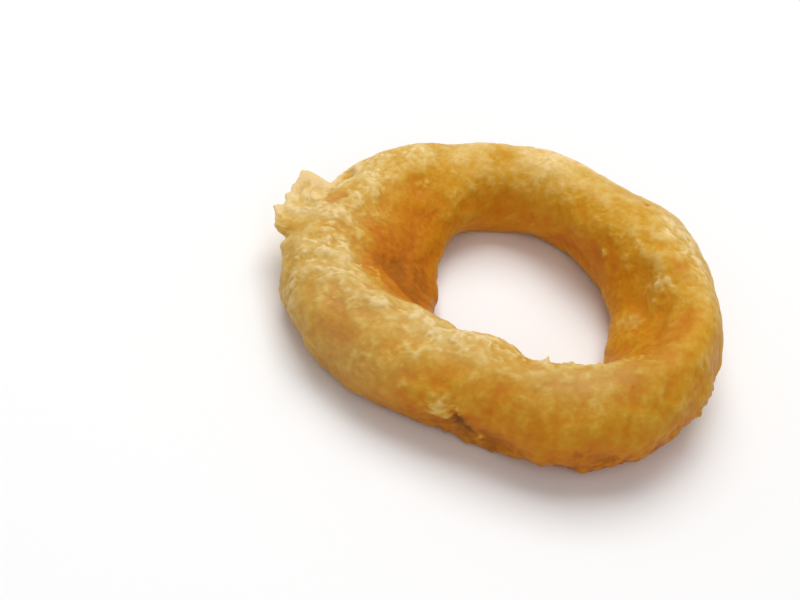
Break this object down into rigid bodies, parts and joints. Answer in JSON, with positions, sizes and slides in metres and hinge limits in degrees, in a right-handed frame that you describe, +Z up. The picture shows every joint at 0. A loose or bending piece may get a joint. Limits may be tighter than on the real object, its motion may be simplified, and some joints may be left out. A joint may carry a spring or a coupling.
{
  "type": "battered onion ring",
  "caption": "Deep-fried battered onion ring lying flat: a thick closed loop of craggy golden crust, with a ragged flap of batter on one side.",
  "frame": {"origin": "centre of the bounding box's base, on the surface the ring lies on", "axes": "+Z up through the hole, +X along the ring's longest side with the ragged flap towards -X, +Y away from the side with the fold"},
  "size_m": [0.0906, 0.08, 0.0212],
  "materials": {
    "batter": "crisp fried batter, golden, paler and rougher on the crags, deeper amber on the inner wall, with a slight sheen of oil"
  },
  "bodies": {
    "root": {"battered_ring": "batter"}
  },
  "joints": []
}
